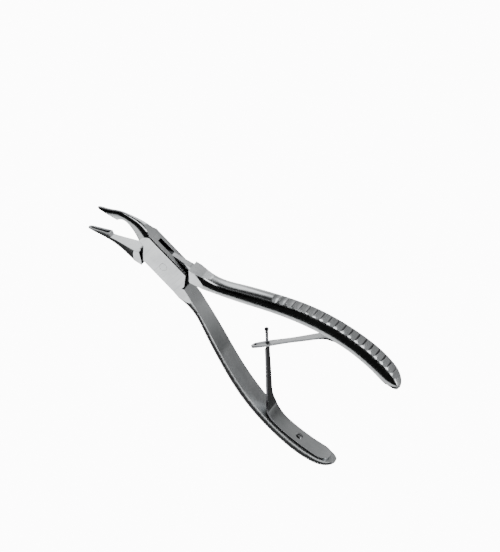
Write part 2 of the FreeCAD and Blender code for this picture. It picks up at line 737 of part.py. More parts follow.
PIECES = [
    publish("box_half", box_shape, TO_ROW),
    publish("tongue_half", tongue_shape, OPENED),
    publish("lower_spring_foot", foot(LOWER, box_line), TO_ROW),
    publish("lower_spring_blade", lower_blade(), TO_ROW),
    publish("upper_spring_foot", foot(UPPER, tongue_line), OPENED),
    publish("upper_spring_blade", upper_blade(), OPENED),
    lock_pin(),
    spring_screw("lower_spring_screw", box_line, -1, TO_ROW),
    spring_screw("upper_spring_screw", tongue_line, 1, OPENED),
]


def export_pieces():
    """Check every object, then write one STEP file for each piece."""
    doc.recompute()
    for thing in doc.Objects:
        if "Invalid" in thing.State or "Error" in thing.State:
            raise RuntimeError("%s failed to build: %s" % (thing.Label, thing.State))
    os.makedirs("parts", exist_ok=True)
    for piece in PIECES:
        shape = piece.Shape
        if shape.isNull() or not shape.isValid():
            raise RuntimeError("%s has no valid shape" % piece.Label)
        shape.exportStep(os.path.join("parts", piece.Label + ".step"))
        print("%-20s %9.2f mm3, %d solid" % (piece.Label, shape.Volume, len(shape.Solids)))


export_pieces()
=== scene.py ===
"""Bone rongeur on a pale floor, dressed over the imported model. Metres, in the row frame."""

import json
import logging
import math
from dataclasses import dataclass, field
from enum import Enum

import bmesh
import bpy
from mathutils import Matrix, Vector


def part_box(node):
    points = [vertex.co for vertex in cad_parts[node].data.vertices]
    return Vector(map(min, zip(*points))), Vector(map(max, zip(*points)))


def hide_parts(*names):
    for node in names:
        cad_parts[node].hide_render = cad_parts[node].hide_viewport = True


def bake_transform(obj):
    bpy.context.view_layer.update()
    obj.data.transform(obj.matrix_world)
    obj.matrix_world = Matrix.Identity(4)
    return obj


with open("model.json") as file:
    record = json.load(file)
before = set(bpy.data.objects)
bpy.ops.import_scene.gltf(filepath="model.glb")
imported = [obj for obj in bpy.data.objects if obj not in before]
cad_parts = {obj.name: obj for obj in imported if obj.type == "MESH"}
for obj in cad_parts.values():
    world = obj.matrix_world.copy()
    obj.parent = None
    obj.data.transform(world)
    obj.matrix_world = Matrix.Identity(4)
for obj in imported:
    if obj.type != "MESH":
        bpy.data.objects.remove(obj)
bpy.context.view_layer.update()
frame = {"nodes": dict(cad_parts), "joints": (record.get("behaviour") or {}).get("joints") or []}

MM = 0.001
LOG = logging.getLogger("rongeur")

# The riveted pin, on which the lock and the picture are centred
PIN_LOW, PIN_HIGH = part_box("lock_pin")
PIN_CENTRE = (PIN_LOW + PIN_HIGH) / 2
PIN_RADIUS = (PIN_HIGH.x - PIN_LOW.x) / 2

NodeSocket = bpy.types.NodeSocket
SocketValue = float | tuple[float, ...] | NodeSocket


class Brush(Enum):
    """Direction in which a surface was brushed, as cycles per metre along X, Y and Z."""

    ACROSS = (5200.0, 240.0, 2600.0)
    ALONG = (240.0, 5200.0, 2600.0)
    TURNED = (2400.0, 2400.0, 2400.0)


class MathStep(Enum):
    """Arithmetic that a shader step does."""

    ADD = "ADD"
    SUBTRACT = "SUBTRACT"
    MULTIPLY = "MULTIPLY"
    DIVIDE = "DIVIDE"
    LARGER = "MAXIMUM"
    SIZE = "ABSOLUTE"
    ANGLE = "ARCTAN2"
    SINE = "SINE"
    COSINE = "COSINE"


@dataclass(frozen=True)
class Fade:
    """Smooth change from one result to another, held beyond both limits.

    Attributes:
        low: Value that gives start.
        high: Value that gives stop.
        start: Result at low.
        stop: Result at high.
    """

    low: float
    high: float
    start: float = 0.0
    stop: float = 1.0


# Colours of the painted shade, of edges bright from wear with a painted highlight and of the seam round
# the pin, and how much the edges show
PAINTED_SHADE = (0.03, 0.032, 0.035)
WORN_HIGHLIGHT = (0.84, 0.85, 0.86)
SEAM = (0.12, 0.12, 0.125)
WORN_HIGHLIGHT_SHARE = 0.35

# Noise: cycles per metre of the dull patches, and how much coarser the streaks are than the marks
PATCH_RATE = (90.0, 110.0, 110.0)
STREAK_RATE = 0.28
FINE_DETAIL = 3.0
STREAK_DETAIL = 2.0

# What the noise does to the colour and to the roughness
PATCH_TONE = Fade(0.35, 0.65, 0.0, 0.8)
STREAK_TONE = Fade(0.52, 0.75, 0.0, 0.35)
STREAK_ROUGHNESS = Fade(0.3, 0.7, -0.03, 0.05)
MARK_ROUGHNESS = Fade(0.3, 0.7, -0.02, 0.03)

# Which faces count, by the size of the normal along the pin or by the turn of a broken edge
HANDLED_FACE = Fade(0.55, 0.25)
# Narrow sides of a strip, which get painted shade
SIDE_SHADE_FACE = Fade(0.6, 0.85)
EDGE_TURN = Fade(0.99, 0.90)

# Where painted shade darkens a recess, by how open the steel lies
OPEN_STEEL = Fade(0.62, 0.28, 0.0, 0.97)

# Samples of the nodes that look round a point
RECESS_SAMPLES = 8
EDGE_SAMPLES = 6
RELIEF_SAMPLES = 4


@dataclass(frozen=True)
class SteelFinish:
    """One steel surface: its colours, its polish and its brush marks.

    Attributes:
        name: Name of the material.
        colour: Colour of the bright metal.
        shade: Colour of its duller patches.
        polish: Roughness where the surface is polished.
        satin: Roughness where it is only ground or blasted.
        brush: Direction of the brush marks.
        mark_depth: Depth of the brush marks in millimetres.
        edge: Radius of the broken edges in millimetres.
        brush_turn: Turn of the brush marks about Z in degrees.
        recess: Distance within which nearby steel casts the painted shade of a recess, in millimetres.
        side_shade: How much painted shade darkens the narrow sides of a strip, from 0 to 1.
        grip_satin: How much rougher the grips are than other satin steel.
    """

    name: str
    colour: tuple[float, float, float]
    shade: tuple[float, float, float]
    polish: float
    satin: float
    brush: Brush
    mark_depth: float
    edge: float
    brush_turn: float = 0.0
    recess: float = 2.5
    side_shade: float = 0.0
    grip_satin: float = 1.0


FORGED = SteelFinish("forged_steel", (0.64, 0.66, 0.67), (0.50, 0.52, 0.53),
                     0.13, 0.30, Brush.ACROSS, 0.0016, 0.22, 12.0, grip_satin=1.7)
PIN = SteelFinish("pin_steel", (0.65, 0.67, 0.68), (0.51, 0.53, 0.54),
                  0.16, 0.40, Brush.ACROSS, 0.0016, 0.05, 12.0)
LOWER_LEAF = SteelFinish("lower_leaf_steel", (0.66, 0.68, 0.69), (0.56, 0.58, 0.59),
                         0.10, 0.12, Brush.ALONG, 0.002, 0.12, side_shade=0.9)
UPPER_LEAF = SteelFinish("upper_leaf_steel", (0.43, 0.445, 0.455), (0.33, 0.345, 0.355),
                         0.22, 0.28, Brush.ALONG, 0.002, 0.12, side_shade=0.45)
SCREW = SteelFinish("screw_steel", (0.40, 0.41, 0.42), (0.28, 0.29, 0.30),
                    0.20, 0.28, Brush.TURNED, 0.002, 0.08)


@dataclass(frozen=True)
class Flutes:
    """Run of the flutes along the back of a handle.

    Attributes:
        start: X where they start, in millimetres.
        angle: Direction of the handle there, in degrees from +X.
        change: Change of that direction, in degrees per millimetre.
        lean: Which walls get painted shade, by the normal along the handle: those that look at the lock.
    """

    start: float
    angle: float
    change: float
    lean: Fade = Fade(-0.22, -0.42, 0.0, 0.9)


@dataclass(frozen=True)
class LockInside:
    """Slot of the lock, in millimetres from the pin.

    Attributes:
        front: Its end at the jaws.
        rear: Its end at the handles.
        bottom: Its lower side.
        top: Its upper side.
        half_width: Half of its width.
        flare_start: X behind which it gets wider.
        flare: How much its half width grows per millimetre.
        wall: Soft border at its walls.
        shade_share: Share of painted shade in it.
    """

    front: Fade = Fade(-9.12, -9.08)
    rear: Fade = Fade(9.0, 8.5)
    bottom: Fade = Fade(-5.2, -5.0)
    top: Fade = Fade(5.56, 5.46)
    half_width: float = 1.27
    flare_start: float = 0.5
    flare: float = 0.224
    wall: Fade = Fade(0.01, -0.01)
    shade_share: float = 0.95


class Graph:
    """Shader nodes of one material or world, added step by step."""

    def __init__(self, tree: bpy.types.NodeTree) -> None:
        """Empties the tree.

        Args:
            tree: Node tree to fill.
        """
        self.tree = tree
        tree.nodes.clear()

    def add(self, kind: str, **settings: object) -> bpy.types.Node:
        """Adds a node.

        Args:
            kind: Type of the node.
            **settings: Its properties.

        Returns:
            The node.
        """
        node = self.tree.nodes.new(kind)
        for name, value in settings.items():
            setattr(node, name, value)
        return node

    def feed(self, socket: NodeSocket, value: SocketValue) -> None:
        """Links a socket, or sets its value.

        Args:
            socket: Input that takes the value.
            value: Number, colour or output of another node.
        """
        if isinstance(value, bpy.types.NodeSocket):
            self.tree.links.new(value, socket)
        elif isinstance(value, tuple) and len(value) == 3 and len(socket.default_value) == 4:
            socket.default_value = (*value, 1.0)
        else:
            socket.default_value = value

    def math(self, step: MathStep, first: SocketValue, *others: SocketValue) -> NodeSocket:
        """Does one kind of arithmetic on a value, or with several in turn.

        Args:
            step: What is done.
            first: First value.
            *others: The values after it, none where the step takes one.

        Returns:
            The result.
        """
        result = first
        for other in others or (0.0,):
            node = self.add("ShaderNodeMath", operation=step.value)
            self.feed(node.inputs[0], result)
            self.feed(node.inputs[1], other)
            result = node.outputs[0]
        return result

    def split(self, vector: NodeSocket) -> tuple[NodeSocket, ...]:
        """Takes a vector apart.

        Args:
            vector: The vector.

        Returns:
            Its X, Y and Z.
        """
        node = self.add("ShaderNodeSeparateXYZ")
        self.feed(node.inputs[0], vector)
        return tuple(node.outputs)

    def ramp(self, value: SocketValue, low: float, high: float, start: SocketValue = 0.0,
             stop: SocketValue = 1.0) -> NodeSocket:
        """Maps a value smoothly from one range to another and holds it at the ends.

        Args:
            value: What is mapped.
            low: Value that gives start.
            high: Value that gives stop.
            start: Result at low.
            stop: Result at high.

        Returns:
            The mapped value.
        """
        node = self.add("ShaderNodeMapRange", interpolation_type="SMOOTHSTEP", clamp=True)
        for number, item in enumerate((value, low, high, start, stop)):
            self.feed(node.inputs[number], item)
        return node.outputs[0]

    def fade(self, value: SocketValue, fade: Fade, unit: float = 1.0) -> NodeSocket:
        """Maps a value by a fade.

        Args:
            value: What is mapped.
            fade: The limits and the results.
            unit: Unit of the limits.

        Returns:
            The mapped value.
        """
        return self.ramp(value, fade.low * unit, fade.high * unit, fade.start, fade.stop)

    def mix(self, share: SocketValue, first: SocketValue, second: SocketValue) -> NodeSocket:
        """Mixes two colours.

        Args:
            share: Share of the second colour.
            first: First colour.
            second: Second colour.

        Returns:
            The mixed colour.
        """
        node = self.add("ShaderNodeMix", data_type="RGBA")
        share_input, first_input, second_input = (node.inputs[number] for number in (0, 6, 7))
        self.feed(share_input, share)
        self.feed(first_input, first)
        self.feed(second_input, second)
        return node.outputs[2]

    def noise(self, place: NodeSocket, scale: tuple[float, float, float], detail: float,
              turn: float = 0.0) -> NodeSocket:
        """Adds noise, stretched along the axes.

        Args:
            place: Coordinates that it reads.
            scale: Cycles per metre along each axis.
            detail: Octaves of finer noise.
            turn: Turn of the pattern about Z in degrees.

        Returns:
            The noise, about 0 to 1.
        """
        mapping = self.add("ShaderNodeMapping")
        self.feed(mapping.inputs["Vector"], place)
        mapping.inputs["Scale"].default_value = scale
        mapping.inputs["Rotation"].default_value = (0.0, 0.0, math.radians(turn))
        node = self.add("ShaderNodeTexNoise")
        self.feed(node.inputs["Vector"], mapping.outputs[0])
        self.feed(node.inputs["Scale"], 1.0)
        self.feed(node.inputs["Detail"], detail)
        return node.outputs["Fac"]

    def rounded(self, radius: float, samples: int) -> NodeSocket:
        """Adds the normal that the surface would have with rounded edges.

        Args:
            radius: Radius of the edges in millimetres.
            samples: How many places it looks at.

        Returns:
            The normal.
        """
        node = self.add("ShaderNodeBevel", samples=samples)
        node.inputs["Radius"].default_value = radius * MM
        return node.outputs[0]


@dataclass
class SteelShader:
    """Procedural steel of one finish.

    Attributes:
        finish: The finish that it shows.
        flutes: Run of the flutes on a half of the instrument, or None on other pieces.
        pin_radius: Radius of the riveted pin in metres, or 0 where none shows.
        inside: The slot of the lock.
        lock_start: Where the satin of the lock starts, as X in millimetres.
        lock_end: Where it turns to polish, as X in millimetres.
        grip_start: X behind which the handles are satin, in millimetres.
        grip_border: Length over which they turn satin, in millimetres.
        crest_border: Length over which the painted shade on the flute walls starts, in millimetres.
        pin_line: Line round the pin, by the distance from its edge in millimetres.
    """

    finish: SteelFinish
    flutes: Flutes | None = None
    pin_radius: float = 0.0
    inside: LockInside = LockInside()
    lock_start: Fade = Fade(-12.5, -11.0)
    lock_end: Fade = Fade(14.0, 23.0, 1.0, 0.0)
    grip_start: float = 40.0
    grip_border: float = 4.0
    crest_border: float = 1.0
    pin_line: Fade = Fade(0.09, 0.03, 0.0, 0.25)

    def build(self) -> bpy.types.Material:
        """Makes the material.

        Returns:
            The material.
        """
        finish = self.finish
        material = bpy.data.materials.new(finish.name)
        material.use_nodes = True
        graph = Graph(material.node_tree)
        coords = graph.add("ShaderNodeTexCoord")
        place, facing = coords.outputs["Object"], coords.outputs["Normal"]
        marks = graph.noise(place, finish.brush.value, FINE_DETAIL, finish.brush_turn)
        streak_rate = tuple(STREAK_RATE * rate for rate in finish.brush.value)
        streaks = graph.noise(place, streak_rate, STREAK_DETAIL, finish.brush_turn)
        satin = self.satin_share(graph, place, facing)
        shader = graph.add("ShaderNodeBsdfPrincipled")
        shader.inputs["Metallic"].default_value = 1.0
        graph.feed(shader.inputs["Base Color"], self.colour(graph, place, facing, streaks))
        graph.feed(shader.inputs["Roughness"], self.roughness(graph, satin, marks, streaks))
        graph.feed(shader.inputs["Normal"], self.relief(graph, marks, streaks))
        output = graph.add("ShaderNodeOutputMaterial")
        graph.feed(output.inputs["Surface"], shader.outputs[0])
        return material

    def colour(self, graph: Graph, place: NodeSocket, facing: NodeSocket,
               streaks: NodeSocket) -> NodeSocket:
        """Colour of the steel: patches, streaks and edges bright from wear with a painted highlight,
        then all the painted shade.

        Args:
            graph: Nodes of the material.
            place: Object coordinates.
            facing: Object normal.
            streaks: Coarse brush marks.

        Returns:
            The colour.
        """
        finish = self.finish
        patches = graph.noise(place, PATCH_RATE, FINE_DETAIL)
        # Edges bright from wear, with a painted highlight along them
        wear_and_highlight = graph.math(MathStep.MULTIPLY, self.edge_share(graph), WORN_HIGHLIGHT_SHARE)
        colour = graph.mix(graph.fade(patches, PATCH_TONE), finish.colour, finish.shade)
        colour = graph.mix(graph.fade(streaks, STREAK_TONE), colour, finish.shade)
        colour = graph.mix(wear_and_highlight, colour, WORN_HIGHLIGHT)
        # Painted shade in recesses, from ambient occlusion
        colour = graph.mix(self.recess_shade_share(graph), colour, PAINTED_SHADE)
        if finish.side_shade:
            # Painted shade on the narrow sides of a strip
            colour = graph.mix(self.side_shade_share(graph, facing), colour, PAINTED_SHADE)
        if self.flutes:
            # Painted shade on the flute walls that look at the lock
            colour = graph.mix(self.crest_shade_share(graph, place, facing), colour, PAINTED_SHADE)
            # Painted shade inside the slot of the lock
            colour = graph.mix(self.lock_shade_share(graph, place), colour, PAINTED_SHADE)
        if self.pin_radius:
            colour = graph.mix(self.pin_share(graph, place), colour, SEAM)
        return colour

    def roughness(self, graph: Graph, satin: NodeSocket, marks: NodeSocket,
                  streaks: NodeSocket) -> NodeSocket:
        """Roughness of the steel, from polished to satin and uneven with the brush marks.

        Args:
            graph: Nodes of the material.
            satin: Share of satin.
            marks: Fine brush marks.
            streaks: Coarse brush marks.

        Returns:
            The roughness.
        """
        finish = self.finish
        satin_part = graph.math(MathStep.MULTIPLY, satin, finish.satin - finish.polish)
        return graph.math(MathStep.ADD, satin_part, finish.polish, graph.fade(streaks, STREAK_ROUGHNESS),
                          graph.fade(marks, MARK_ROUGHNESS))

    def relief(self, graph: Graph, marks: NodeSocket, streaks: NodeSocket) -> NodeSocket:
        """Surface relief: brush marks over softly broken edges.

        Args:
            graph: Nodes of the material.
            marks: Fine brush marks.
            streaks: Coarse brush marks.

        Returns:
            The normal.
        """
        bump = graph.add("ShaderNodeBump")
        bump.inputs["Strength"].default_value = 1.0
        bump.inputs["Distance"].default_value = self.finish.mark_depth * MM
        graph.feed(bump.inputs["Height"], graph.math(MathStep.ADD, marks, streaks))
        graph.feed(bump.inputs["Normal"], graph.rounded(self.finish.edge, RELIEF_SAMPLES))
        return bump.outputs[0]

    def satin_share(self, graph: Graph, place: NodeSocket, facing: NodeSocket) -> NodeSocket:
        """Where the steel is satin: the faces round the pin's axis, on the lock and on the grips.

        Args:
            graph: Nodes of the material.
            place: Object coordinates.
            facing: Object normal.

        Returns:
            Share of satin, more than 1 where the grips are rougher.
        """
        along = graph.split(place)[0]
        round_pin = graph.fade(graph.math(MathStep.SIZE, graph.split(facing)[2]), HANDLED_FACE)
        lock = graph.math(MathStep.MULTIPLY, graph.fade(along, self.lock_start, MM),
                          graph.fade(along, self.lock_end, MM))
        grip = graph.fade(along, Fade(self.grip_start, self.grip_start + self.grip_border), MM)
        grip = graph.math(MathStep.MULTIPLY, grip, self.finish.grip_satin)
        return graph.math(MathStep.MULTIPLY, round_pin, graph.math(MathStep.ADD, lock, grip))

    def edge_share(self, graph: Graph) -> NodeSocket:
        """Where an edge has been broken, bright from wear with a painted highlight along it, which is
        where rounding turns the normal.

        Args:
            graph: Nodes of the material.

        Returns:
            Share of edge, 0 to 1.
        """
        turn = graph.add("ShaderNodeVectorMath", operation="DOT_PRODUCT")
        graph.feed(turn.inputs[0], graph.rounded(self.finish.edge, EDGE_SAMPLES))
        graph.feed(turn.inputs[1], graph.add("ShaderNodeNewGeometry").outputs["Normal"])
        return graph.fade(turn.outputs["Value"], EDGE_TURN)

    def recess_shade_share(self, graph: Graph) -> NodeSocket:
        """Painted shade in a slot or a joint, darker where less of the room reaches the steel.

        Args:
            graph: Nodes of the material.

        Returns:
            Share of painted shade, 0 to 1.
        """
        openness = graph.add("ShaderNodeAmbientOcclusion", samples=RECESS_SAMPLES)
        openness.inputs["Distance"].default_value = self.finish.recess * MM
        return graph.fade(openness.outputs["AO"], OPEN_STEEL)

    def side_shade_share(self, graph: Graph, facing: NodeSocket) -> NodeSocket:
        """Painted shade on the narrow sides of a strip, those along the pin's axis.

        Args:
            graph: Nodes of the material.
            facing: Object normal.

        Returns:
            Share of painted shade, 0 to 1.
        """
        upright = graph.math(MathStep.SIZE, graph.split(facing)[2])
        return graph.ramp(upright, SIDE_SHADE_FACE.low, SIDE_SHADE_FACE.high, 0.0, self.finish.side_shade)

    def crest_shade_share(self, graph: Graph, place: NodeSocket, facing: NodeSocket) -> NodeSocket:
        """Painted shade where a flute rises to its ridge, on the wall that looks at the lock.

        Args:
            graph: Nodes of the material.
            place: Object coordinates.
            facing: Object normal.

        Returns:
            Share of dull steel, 0 to 1.
        """
        flutes = self.flutes
        along = graph.split(place)[0]
        normal_x, normal_y, _ = graph.split(facing)
        from_start = graph.math(MathStep.SUBTRACT, along, flutes.start * MM)
        turn = graph.math(MathStep.MULTIPLY, from_start, math.radians(flutes.change) / MM)
        turn = graph.math(MathStep.ADD, turn, math.radians(flutes.angle))
        lean = graph.math(
            MathStep.ADD,
            graph.math(MathStep.MULTIPLY, normal_x, graph.math(MathStep.COSINE, turn)),
            graph.math(MathStep.MULTIPLY, normal_y, graph.math(MathStep.SINE, turn)))
        grip = graph.fade(along, Fade(self.grip_start - self.crest_border, self.grip_start), MM)
        return graph.math(MathStep.MULTIPLY, grip, graph.fade(lean, flutes.lean))

    def lock_shade_share(self, graph: Graph, place: NodeSocket) -> NodeSocket:
        """Painted shade inside the slot of the lock.

        Args:
            graph: Nodes of the material.
            place: Object coordinates.

        Returns:
            Share of painted shade, 0 to 1.
        """
        inside = self.inside
        along, up, across = graph.split(place)
        flared = graph.math(MathStep.LARGER,
                            graph.math(MathStep.SUBTRACT, along, inside.flare_start * MM), 0.0)
        half_width = graph.math(MathStep.ADD, graph.math(MathStep.MULTIPLY, flared, inside.flare),
                                inside.half_width * MM)
        aside = graph.math(MathStep.SIZE, graph.math(MathStep.SUBTRACT, across, PIN_CENTRE.z))
        past_wall = graph.math(MathStep.SUBTRACT, aside, half_width)
        return graph.math(
            MathStep.MULTIPLY, graph.fade(along, inside.front, MM), graph.fade(along, inside.rear, MM),
            graph.fade(up, inside.bottom, MM), graph.fade(up, inside.top, MM),
            graph.fade(past_wall, inside.wall, MM), inside.shade_share)

    def pin_share(self, graph: Graph, place: NodeSocket) -> NodeSocket:
        """Thin dark line round the pin, where it was riveted and ground flush.

        Args:
            graph: Nodes of the material.
            place: Object coordinates.

        Returns:
            Share of the line, 0 to 1.
        """
        flat = graph.add("ShaderNodeCombineXYZ")
        along, up, _ = graph.split(place)
        graph.feed(flat.inputs[0], along)
        graph.feed(flat.inputs[1], up)
        radius = graph.add("ShaderNodeVectorMath", operation="LENGTH")
        graph.feed(radius.inputs[0], flat.outputs[0])
        off = graph.math(MathStep.SUBTRACT, radius.outputs["Value"], self.pin_radius)
        return graph.fade(graph.math(MathStep.SIZE, off), self.pin_line, MM)


def dress(piece: bpy.types.Object, material: bpy.types.Material) -> None:
    """Gives a piece one material.

    Args:
        piece: Mesh object.
        material: Its material.
    """
    if piece.material_slots:
        for slot in piece.material_slots:
            slot.link = "OBJECT"
            slot.material = material
    else:
        piece.data.materials.append(material)


@dataclass
class Halves:
    """The two forged halves and the riveted pin that joins them.

    Attributes:
        box_flutes: Flutes of the lower handle.
        tongue_flutes: Flutes of the upper handle.
    """

    box_flutes: Flutes = Flutes(47.0, -16.4, 0.70)
    tongue_flutes: Flutes = Flutes(41.0, 34.4, -0.73)

    def build(self) -> list[bpy.types.Object]:
        """Dresses both halves and the pin.

        Returns:
            The pieces.
        """
        shaders = {
            "box_half": SteelShader(FORGED, self.box_flutes, PIN_RADIUS),
            "tongue_half": SteelShader(FORGED, self.tongue_flutes, PIN_RADIUS),
            "lock_pin": SteelShader(PIN, pin_radius=PIN_RADIUS),
        }
        pieces = []
        for name, shader in shaders.items():
            dress(frame["nodes"][name], shader.build())
            pieces.append(frame["nodes"][name])
        return pieces


@dataclass
class LeafSpring:
    """One leaf: its screwed foot and its free blade in one strip that bends.

    Attributes:
        name: Name of the piece.
        foot: CAD node of the foot.
        blade: CAD node of the blade.
        handle_body: Body that the foot is screwed to; not used.
        blade_body: Body of the blade; not used.
        joint: Joint at the bend.
        reach: How far the bend spreads to each side, in millimetres.
        end_search: How far from the middle a face of the gap lies at most, in millimetres.
        end_size: How far from its centre an end face reaches at most, in millimetres.
        end_flat: How flat an end face is, in millimetres.
        roughly_facing: Cosine within which a face looks into the gap, at the first search.
        facing: The same cosine for the faces that are taken away.
        merge: Distance within which corners are one, in millimetres.
        smooth_angle: Angle up to which the strip is smooth, in degrees.
    """

    name: str
    foot: str
    blade: str
    handle_body: str
    blade_body: str
    joint: str
    reach: float = 2.0
    end_search: float = 0.8
    end_size: float = 6.0
    end_flat: float = 0.03
    roughly_facing: float = 0.8
    facing: float = 0.97
    merge: float = 0.002
    smooth_angle: float = 35.0

    def build(self, material: bpy.types.Material) -> bpy.types.Object:
        """Joins copies of the foot and the blade, closes the gap and dresses the leaf.

        Args:
            material: Steel of the leaf.

        Returns:
            The leaf.
        """
        leaf = self.joined()
        self.close_gap(leaf)
        leaf.data.materials.clear()
        leaf.data.materials.append(material)
        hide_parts(self.foot, self.blade)
        start, end = self.bend_ends()
        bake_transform(leaf)
        return leaf

    def joined(self) -> bpy.types.Object:
        """Copies both CAD meshes into one object with its loose corners merged.

        Returns:
            The object.
        """
        bpy.ops.object.select_all(action="DESELECT")
        for node in (self.foot, self.blade):
            copy = frame["nodes"][node].copy()
            copy.data = copy.data.copy()
            copy.parent = None
            copy.matrix_world = Matrix.Identity(4)
            bpy.context.collection.objects.link(copy)
            copy.select_set(True)
            bpy.context.view_layer.objects.active = copy
        bpy.ops.object.join()
        leaf = bpy.context.view_layer.objects.active
        leaf.name = self.name
        leaf.data.name = self.name
        if leaf.data.has_custom_normals:
            bpy.ops.mesh.customdata_custom_splitnormals_clear()
        bpy.ops.object.mode_set(mode="EDIT")
        bpy.ops.mesh.select_all(action="SELECT")
        bpy.ops.mesh.remove_doubles(threshold=self.merge * MM)
        bpy.ops.object.mode_set(mode="OBJECT")
        return leaf

    def close_gap(self, leaf: bpy.types.Object) -> None:
        """Takes away the two end faces at the bend and bridges their rims.

        Args:
            leaf: The joined copies.
        """
        ends = self.gap_ends()
        bpy.ops.object.mode_set(mode="EDIT")
        bpy.ops.mesh.select_mode(type="FACE")
        bpy.ops.mesh.select_all(action="DESELECT")
        mesh = bmesh.from_edit_mesh(leaf.data)
        for face in mesh.faces:
            face.select_set(self.is_end(face, ends))
        bmesh.update_edit_mesh(leaf.data)
        bpy.ops.mesh.delete(type="FACE")
        bpy.ops.mesh.select_mode(type="EDGE")
        bpy.ops.mesh.select_all(action="DESELECT")
        bpy.ops.mesh.select_non_manifold(extend=False)
        bpy.ops.mesh.bridge_edge_loops()
        bpy.ops.mesh.select_all(action="SELECT")
        bpy.ops.mesh.normals_make_consistent(inside=False)
        bpy.ops.object.mode_set(mode="OBJECT")
        bpy.ops.object.select_all(action="DESELECT")
        leaf.select_set(True)
        bpy.ops.object.shade_smooth_by_angle(angle=math.radians(self.smooth_angle))

    def is_end(self, face: bmesh.types.BMFace, ends: list[tuple[Vector, Vector]]) -> bool:
        """Whether a face closes an end of the gap at the bend.

        Args:
            face: Face of the joined copies.
            ends: Centre and outward direction of both ends.

        Returns:
            True for a face that looks into the gap.
        """
        centre = face.calc_center_median()
        for end, outward in ends:
            off = centre - end
            in_plane = abs(off.dot(outward)) < self.end_flat * MM and off.length < self.end_size * MM
            if in_plane and face.normal.dot(outward) > self.facing:
                return True
        return False

    def gap_ends(self) -> list[tuple[Vector, Vector]]:
        """Finds the two faces that look into the gap.

        Returns:
            Centre and outward direction of each.
        """
        middle = Vector(next(joint["pos_m"] for joint in frame["joints"] if joint["name"] == self.joint))
        found = []
        for node in (self.foot, self.blade):
            mesh = frame["nodes"][node].data
            body = sum((face.center * face.area for face in mesh.polygons), Vector())
            body /= sum(face.area for face in mesh.polygons)
            guess = (middle - body).normalized()
            flat = [face for face in mesh.polygons
                    if face.normal.dot(guess) > self.roughly_facing
                    and abs((face.center - middle).dot(guess)) < self.end_search * MM]
            area = sum(face.area for face in flat)
            centre = sum((face.center * face.area for face in flat), Vector()) / area
            outward = sum((face.normal * face.area for face in flat), Vector()).normalized()
            found.append((centre, outward))
        return found

    def bend_ends(self) -> tuple[Vector, Vector]:
        """Where the leaf starts and stops to bend.

        Returns:
            The two places, in metres.
        """
        (foot_end, foot_out), (blade_end, blade_out) = self.gap_ends()
        return foot_end - foot_out * self.reach * MM, blade_end - blade_out * self.reach * MM


@dataclass
class Springs:
    """Both leaf springs and the screws that hold them."""

    leaves: list[LeafSpring] = field(default_factory=lambda: [
        LeafSpring("lower_leaf", "lower_spring_foot", "lower_spring_blade", "box_body", "lower_blade",
                   "lower_blade_bend"),
        LeafSpring("upper_leaf", "upper_spring_foot", "upper_spring_blade", "tongue_body", "upper_blade",
                   "upper_blade_bend"),
    ])

    def build(self) -> list[bpy.types.Object]:
        """Builds the leaves and dresses the screws.

        Returns:
            The pieces.
        """
        screw_steel = SteelShader(SCREW, grip_start=0.0).build()
        pieces = [leaf.build(SteelShader(finish, grip_start=0.0).build())
                  for leaf, finish in zip(self.leaves, (LOWER_LEAF, UPPER_LEAF))]
        for name in ("lower_spring_screw", "upper_spring_screw"):
            screw = frame["nodes"][name]
            dress(screw, screw_steel)
            pieces.append(screw)
        return pieces


@dataclass(frozen=True)
class Band:
    """Part of the studio round the object, as an angle from straight up towards +Y.

    Attributes:
        angle: Angle in degrees.
        light: Brightness there.
    """

    angle: float
    light: float


@dataclass(frozen=True)
class Card:
    """Sheet of card on the floor, which the steel mirrors and the camera doesn't see.

    Attributes:
        low: Lowest X and Y in millimetres.
        high: Highest X and Y in millimetres.
        soft: Width of its soft border in millimetres.
        light: Brightness of the card.
    """

    low: tuple[float, float]
    high: tuple[float, float]
    soft: float
    light: float


@dataclass(frozen=True)
class SoftBox:
    """Soft light beyond the object, as the camera sees it.

    Attributes:
        width: Width in metres.
        height: Height in metres.
        power: Power in watts.
        towards: Direction in which it hangs from the pin.
        distance: How far it hangs along that direction, in metres.
    """

    width: float = 0.5
    height: float = 0.24
    power: float = 0.32
    towards: tuple[float, float, float] = (0.087, -0.637, 0.766)
    distance: float = 0.9


